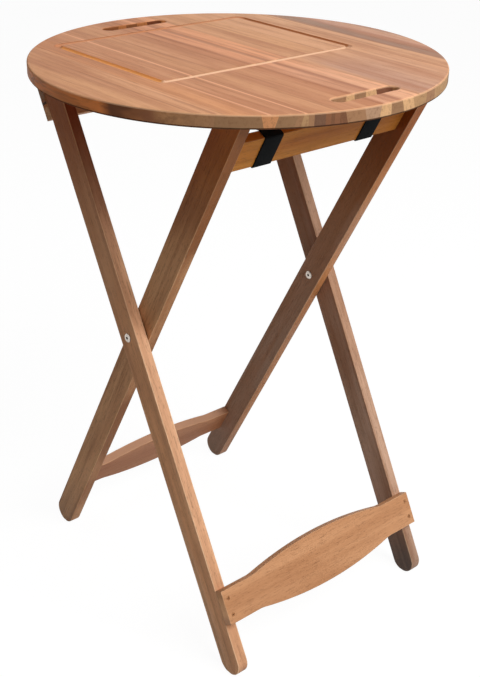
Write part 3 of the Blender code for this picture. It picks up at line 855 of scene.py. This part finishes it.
black = (shade(58, 56, 55), shade(34, 32, 31))
blacked_steel = plated_steel("blacked_steel", *black, roughness=0.45, bump=0.00006, grime_and_shade=0.0)
set_out(tack_tree, places, tack, blacked_steel)
tack_rows = (
    ("outer", outer_place, -overlay_inside, 1, outer_rail_middle),
    ("inner", inner_place, -board_thickness / 2, -1, inner_rail_middle),
)
for rail, rail_place, face, facing, middle in tack_rows:
    across = face + facing * (2 * fit_gap + webbing_thickness)
    height = middle - rail_height / 2 + strap_tail - tack_setback
    tack_places = []
    tack_nodes = []
    for side, hand in hands:
        for end, offset in (("near", -tack_spacing / 2), ("far", tack_spacing / 2)):
            point = (across, hand * strap_spacing / 2 + offset, height)
            tack_places.append(seated(rail_place, point, (facing, 0.0, 0.0)))
            tack_nodes.append(f"{rail}_tack_{side}_{end}")
    tacks = fitted(f"{rail}_strap_tacks", tack_tree, tack_sizes, tack_places)
    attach(tacks, rail + "_frame")
    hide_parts(*tack_nodes)

# Round top: boards of mixed colour glued edge to edge, sawn round with a rounded rim, and pierced by two
# hand slots. A round-nosed cutter has routed a groove about a carving field that lies off centre.
# It rests loose on the leg heads.
top_radius = 0.350
top_thickness = 0.022
table_height = 1.015
rim_round = 0.003
slot_length = 0.138
slot_width = 0.024
slot_middle = 0.294
groove_span = (0.302, 0.411)
groove_offset = 0.089
groove_radius = 0.0065
groove_depth = 0.0045
groove_corner = 0.009
slot_reach = 0.34


def slot_outline(middle):
    half = (slot_length - slot_width) / 2
    far_end = arc((middle, half), slot_width / 2, 0.0, math.pi, 28)
    near_end = arc((middle, -half), slot_width / 2, math.pi, 2 * math.pi, 28)
    return far_end + near_end


def groove_cutter():
    """The space that the cutter's round nose sweeps round the field."""
    half_x, half_y = [span / 2 - groove_corner for span in groove_span]
    path = []
    for turn, (x, y) in enumerate(((1, 1), (-1, 1), (-1, -1), (1, -1))):
        centre = (x * half_x - groove_offset, y * half_y)
        path += arc(centre, groove_corner, turn * quarter, (turn + 1) * quarter, 10)
    nose = {"dimensions": "3D", "bevel_depth": groove_radius, "bevel_resolution": 12}
    mesh, shape = drawn("groove_cutter", [path], table_height + groove_radius - groove_depth, nose)
    shape.to_mesh(mesh)
    shape.free()
    return added("groove_cutter", mesh)


def glued_boards(name):
    """The top's wood: a tone for each board, its grain, its end grain, and painted light and shade on rim and
    groove.
    """
    woods = {
        "russet": shade(191, 128, 89), "chestnut": shade(199, 138, 98), "fawn": shade(204, 145, 103),
        "tan": shade(210, 152, 108), "honey": shade(213, 147, 100), "rose": shade(222, 153, 112),
        "petal": shade(240, 170, 124), "oat": shade(222, 169, 129), "straw": shade(216, 159, 118),
        "mauve": shade(184, 144, 121), "blush": shade(200, 152, 129), "umber": shade(155, 123, 104),
    }
    # Each board: where it starts across the top, and its wood at that side and at the other.
    boards = (
        (-0.3500, "tan", "tan"), (-0.2720, "fawn", "fawn"), (-0.2400, "honey", "honey"),
        (-0.1965, "russet", "chestnut"), (-0.1450, "chestnut", "fawn"), (-0.0950, "chestnut", "chestnut"),
        (-0.0470, "russet", "russet"), (-0.0175, "rose", "rose"), (0.0165, "rose", "petal"),
        (0.0620, "fawn", "fawn"), (0.1050, "tan", "tan"), (0.1450, "straw", "straw"),
        (0.2200, "oat", "oat"), (0.2665, "umber", "umber"), (0.2930, "umber", "blush"),
        (0.3120, "blush", "mauve"),
    )
    end_woods = {
        "sapwood": shade(225, 180, 130), "orange": shade(214, 148, 98), "tan": shade(202, 155, 112),
        "drab": shade(184, 146, 103), "ash": shade(184, 149, 120), "rosy": shade(127, 82, 56),
        "brown": shade(162, 122, 88), "olive": shade(150, 116, 83), "walnut": shade(105, 67, 46),
        "umber": shade(100, 73, 58), "bog": shade(108, 60, 42),
    }
    # End grain across the top: on the rim, and in the hand slots.
    rim_ends = (
        (-0.350, "brown"), (-0.252, "olive"), (-0.203, "orange"), (-0.182, "olive"), (-0.158, "brown"),
        (-0.148, "drab"), (-0.144, "brown"), (-0.134, "umber"), (-0.118, "rosy"), (-0.112, "walnut"),
        (-0.104, "rosy"), (-0.097, "walnut"), (-0.088, "brown"), (-0.057, "ash"), (-0.022, "sapwood"),
        (-0.003, "olive"), (0.020, "sapwood"), (0.047, "drab"), (0.090, "brown"), (0.115, "drab"),
        (0.190, "olive"), (0.240, "drab"),
    )
    slot_ends = (
        (-0.350, "brown"), (-0.030, "sapwood"), (-0.012, "olive"), (0.013, "sapwood"), (0.034, "bog"),
    )
    # Long grain of the outermost boards, along the rim's two sides.
    rim_woods = {
        "flame": shade(248, 158, 88), "amber": shade(232, 137, 72), "cocoa": shade(138, 82, 54),
        "bog": shade(106, 61, 36), "drab": shade(194, 138, 90),
    }
    rim_sides = (
        (-0.350, "flame"), (-0.200, "amber"), (0.083, "amber"), (0.102, "bog"), (0.135, "bog"),
        (0.165, "cocoa"), (0.182, "drab"),
    )
    surface, inputs, spot = new_surface(name)
    x, y, z = spot.parts()

    def at(place):
        return (place + top_radius) / (2 * top_radius)

    def over(place, stops, how, named):
        """A tone by where a place falls across the top."""
        placed = [(at(start), named[wood]) for start, wood in stops]
        return spot.add("ShaderNodeValToRGB", {"stops": (how, placed)}, {"Fac": at(place)})

    joint_blend = 0.0008
    board_ends = [board[0] for board in boards[1:]] + [top_radius]
    face_stops = []
    own_stops = []
    own_shares = []
    for index, (start, near_wood, far_wood) in enumerate(boards):
        face_stops.append((start + joint_blend, near_wood))
        face_stops.append((board_ends[index] - joint_blend, far_wood))
        share = (index * 0.37) % 1.0
        own_shares.append((share, share, share, 1.0))
        own_stops.append((start, index))
    own = over(y, own_stops, "CONSTANT", own_shares)

    def figure(along_rate, across_rate, detail, shift):
        sockets = {
            "X": x * along_rate + own * 31.0,
            "Y": y * across_rate + (own * 17.0 + shift),
            "Z": z * across_rate + own * 7.0,
        }
        return spot.add("ShaderNodeCombineXYZ", {}, sockets).noise(detail, 0.6)

    drift = figure(2.0, 26.0, 2.0, 0.0)
    streak = figure(3.0, 110.0, 3.0, 3.0)
    fibre = figure(10.0, 560.0, 3.0, 7.0)
    vessel = figure(28.0, 1000.0, 1.0, 11.0)
    pores = vessel.ease(0.60, 0.72)
    tone_shift = x.ease(0.00, 0.20) * y.ease(0.055, 0.080)
    tone_shift = tone_shift * (1 - 0.65 * y.ease(0.10, 0.20)) * (1 - y.ease(0.20, 0.235))
    wander = y + 0.006 * (figure(1.6, 3.0, 1.0, 19.0) - 0.5)
    tone = over(wander, face_stops, "LINEAR", woods)
    tone = (tone_shift * 0.72).tinted(tone, shade(194, 151, 131))
    sapwood = x.ease(-0.02, 0.20) * y.ease(-0.019, -0.014) * y.ease(0.064, 0.058)
    tone = (sapwood * 0.30).tinted(tone, shade(240, 194, 164))
    tone = (drift.ease(0.45, 0.70) * 0.62).tinted(tone, shade(174, 112, 76))
    tone = (drift.ease(0.52, 0.28) * 0.50).tinted(tone, shade(230, 172, 130))
    tone = (streak.ease(0.50, 0.76) * 0.56).tinted(tone, shade(154, 94, 62))
    tone = (streak.ease(0.46, 0.26) * 0.25).tinted(tone, shade(232, 176, 138))
    tone = (fibre.ease(0.50, 0.74) * 0.22).tinted(tone, shade(150, 94, 62))
    tone = (pores * 0.28).tinted(tone, shade(112, 66, 42))

    def line(place, width):
        return 1 - (abs(wander - place) / width).ease(0.25, 1.0)

    dark_lines = 0.9 * line(0.0170, 0.0085) + 0.55 * line(-0.0200, 0.0075) + 0.7 * line(0.2655, 0.0045)
    dark_lines = dark_lines + 0.4 * line(-0.2740, 0.0040)
    tone = (dark_lines * 0.62).tinted(tone, shade(146, 84, 54))
    pale_lines = line(-0.1450, 0.0030) + 0.9 * line(-0.1920, 0.0045) * x.ease(0.02, 0.12)
    pale_lines = pale_lines + 0.5 * line(-0.2460, 0.0030) * x.ease(-0.12, 0.02)
    tone = (pale_lines * 0.75).tinted(tone, shade(236, 174, 134))

    normal_x, _, normal_z = spot.other("Normal").parts()
    edge = abs(normal_z).ease(0.8, 0.4)
    ended = abs(normal_x).ease(0.35, 0.75)
    slant = y + (z - table_height) * 0.7 * (own - 0.5)
    in_slot = x * x + y * y < slot_reach ** 2
    rim_end = over(slant, rim_ends, "CONSTANT", end_woods)
    end_tone = in_slot.tinted(rim_end, over(slant, slot_ends, "CONSTANT", end_woods))
    mottle = spot.scaled(170.0).noise(3.0, 0.6)
    end_tone = (0.12 + 0.2 * fibre.ease(0.4, 0.7)).tinted(end_tone, shade(150, 108, 80))
    end_tone = (mottle.ease(0.48, 0.72) * 0.45).tinted(end_tone, shade(118, 82, 58))
    # Painted shade darkens the end grain toward the far side, in the far slot and on the back rim.
    far_end_shade_filter = (0.66, 0.39, 0.24, 1.0)
    end_tone = x.ease(-0.10, -0.20).tinted(end_tone, far_end_shade_filter, "MULTIPLY")
    rim_tone = over(x + 0.25 * (z - table_height), rim_sides, "LINEAR", rim_woods)
    rim_tone = (streak.ease(0.42, 0.70) * 0.6).tinted(rim_tone, shade(100, 58, 38))
    rim_tone = (drift.ease(0.50, 0.30) * 0.45).tinted(rim_tone, shade(200, 128, 78))
    tone = (edge * 0.94).tinted(tone, ended.tinted(rim_tone, end_tone))
    arris = spot.mark("arris")
    # Painted highlight along the rim's upper arris, left out in the far slot.
    rim_highlight = arris * z.ease(1.004, 1.012) * (1 - in_slot * x.ease(0.0, -0.2))
    tone = (rim_highlight * 0.45).tinted(tone, shade(236, 186, 146))
    # Painted shade along the rim's lower arris, under the top.
    tone = (arris * z.ease(0.999, 0.996) * 0.80).tinted(tone, shade(58, 32, 20))

    # The groove's cut wood takes a tone for each side: its own colour, with painted light on the near and
    # right sides and painted shade on the far and left sides.
    routed = spot.mark("routed")
    cut_tone_and_light = y.ease(-0.20, -0.19).tinted(shade(244, 174, 102), shade(172, 108, 68))
    cut_tone_and_light = x.ease(0.048, 0.055).tinted(cut_tone_and_light, shade(228, 186, 153))
    cut_tone_and_light = x.ease(-0.225, -0.232).tinted(cut_tone_and_light, shade(194, 134, 97))
    tone = (routed * 0.85).tinted(tone, cut_tone_and_light)

    feed(inputs["Base Color"], tone)
    feed(inputs["Roughness"], 0.42 + 0.16 * fibre + 0.10 * pores + 0.10 * ended * edge + 0.45 * arris)
    inputs["Specular IOR Level"].default_value = 0.11
    raise_grain(inputs, 0.5 * fibre + 0.2 * streak - 0.45 * pores - 0.3 * dark_lines, 0.0004)
    return surface


place = Matrix.Translation((0.0, 0.0, table_height - top_thickness / 2))
outlines = [circle((0.0, 0.0), top_radius, 256), slot_outline(-slot_middle), slot_outline(slot_middle)]
top = planed("oiled_round_top", outlines, top_thickness, rim_round, place, glued_boards("glued_boards"))
cutter = groove_cutter()
rout = top.modifiers.new("groove", "BOOLEAN")
rout.operation = "DIFFERENCE"
rout.object = cutter
rout.solver = "EXACT"
top.data = plain(top)
top.modifiers.clear()
bpy.data.objects.remove(cutter)
routed = top.data.attributes.new("routed", "FLOAT", "FACE")
field_x, field_y = [span / 2 + groove_radius for span in groove_span]
groove_floor = table_height - groove_depth - 0.0002
groove_edge = table_height - 0.00005
for polygon in top.data.polygons:
    centre = polygon.center
    sunk = groove_floor < centre.z < groove_edge
    inside = abs(centre.x + groove_offset) < field_x and abs(centre.y) < field_y
    routed.data[polygon.index].value = float(sunk and inside)
shape = bmesh.new()
shape.from_mesh(top.data)
cut = shape.faces.layers.float["routed"]
for edge in shape.edges:
    edge.smooth = len({face[cut] for face in edge.link_faces}) == 1
shape.to_mesh(top.data)
shape.free()
even_shading(top, Vector((0.0, 0.0, 1.0)))
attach(top, "top")
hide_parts("tabletop")

# Studio: a pale seamless floor that shows white to the camera and keeps the table's shadow, an even
# white surround, soft lights from the right and from above, and the camera where the photographer stood.
floor_size = 40.0
floor_grey = 0.72
floor_white = 1.08
floor_white_share = 0.88
ambient_strength = 0.10
light_aim = Vector((0.0, 0.0, 0.6))
floor_mesh = bpy.data.meshes.new("studio_floor")
corner = floor_size / 2
signs = ((-1, -1), (1, -1), (1, 1), (-1, 1))
floor_corners = [(x * corner, y * corner, 0.0) for x, y in signs]
floor_mesh.from_pydata(floor_corners, [], [(0, 1, 2, 3)])
floor = added("studio_floor", floor_mesh)
paper = bpy.data.materials.new("floor_paper")
paper.use_nodes = True
paper_nodes = paper.node_tree.nodes
paper_shader = paper_nodes["Principled BSDF"]
paper_shader.inputs["Base Color"].default_value = (floor_grey, floor_grey, floor_grey, 1.0)
paper_shader.inputs["Roughness"].default_value = 0.9


def seen_directly(nodes):
    """1 for the camera, and for what is mirrored in or seen through a piece."""
    path = Wire(nodes.new("ShaderNodeLightPath").outputs["Is Camera Ray"])
    seen = path + path.other("Is Glossy Ray") + path.other("Is Transmission Ray")
    return path.math("MINIMUM", seen, 1.0)


seen = seen_directly(paper_nodes)
white = seen.add("ShaderNodeEmission", {}, {"Strength": floor_white})
paper_sockets = {0: seen * floor_white_share, 1: Wire(paper_shader.outputs[0]), 2: white}
paper_mix = seen.add("ShaderNodeMixShader", {}, paper_sockets)
feed(paper_nodes["Material Output"].inputs["Surface"], paper_mix)
floor_mesh.materials.append(paper)

world = bpy.data.worlds.new("studio_surround")
world.use_nodes = True
world_nodes = world.node_tree.nodes
ambient = Wire(world_nodes["Background"].outputs[0])
world_nodes["Background"].inputs["Color"].default_value = (1.0, 1.0, 1.0, 1.0)
world_nodes["Background"].inputs["Strength"].default_value = ambient_strength
backdrop = ambient.add("ShaderNodeBackground", {}, {"Color": (1.0, 1.0, 1.0, 1.0), "Strength": 1.0})
surround = ambient.add("ShaderNodeMixShader", {}, {0: seen_directly(world_nodes), 1: ambient, 2: backdrop})
feed(world_nodes["World Output"].inputs["Surface"], surround)
bpy.context.scene.world = world


def soft_light(name, place, width, power):
    """A square soft light that looks at the middle of the table."""
    lamp = bpy.data.lights.new(name, "AREA")
    lamp.size = width
    lamp.energy = power
    light = added(name, lamp)
    light.location = place
    light.rotation_euler = (light_aim - Vector(place)).to_track_quat("-Z", "Y").to_euler()


soft_light("key_light", (2.85, 0.40, 3.35), 2.6, 146.0)
soft_light("overhead_light", (-0.2, 0.2, 4.0), 2.5, 26.0)

azimuth = math.radians(48.71)
elevation = math.radians(27.21)
roll = math.radians(1.31)
distance = 2.9451
target = Vector((-0.5167, 0.4719, 0.1225))
back = Vector((
    math.sin(azimuth) * math.cos(elevation),
    -math.cos(azimuth) * math.cos(elevation),
    math.sin(elevation),
))
right = back.cross(Vector((0.0, 0.0, -1.0))).normalized()
up = back.cross(right)
right, up = right * math.cos(roll) + up * math.sin(roll), up * math.cos(roll) - right * math.sin(roll)
lens = bpy.data.cameras.new("photo_camera")
lens.lens = 60.74
lens.sensor_width = 36.0
camera = added("photo_camera", lens)
turned = Matrix((right, up, back)).transposed().to_4x4()
camera.matrix_world = Matrix.Translation(target + distance * back) @ turned
bpy.context.scene.camera = camera
bpy.context.scene.view_settings.view_transform = "Standard"
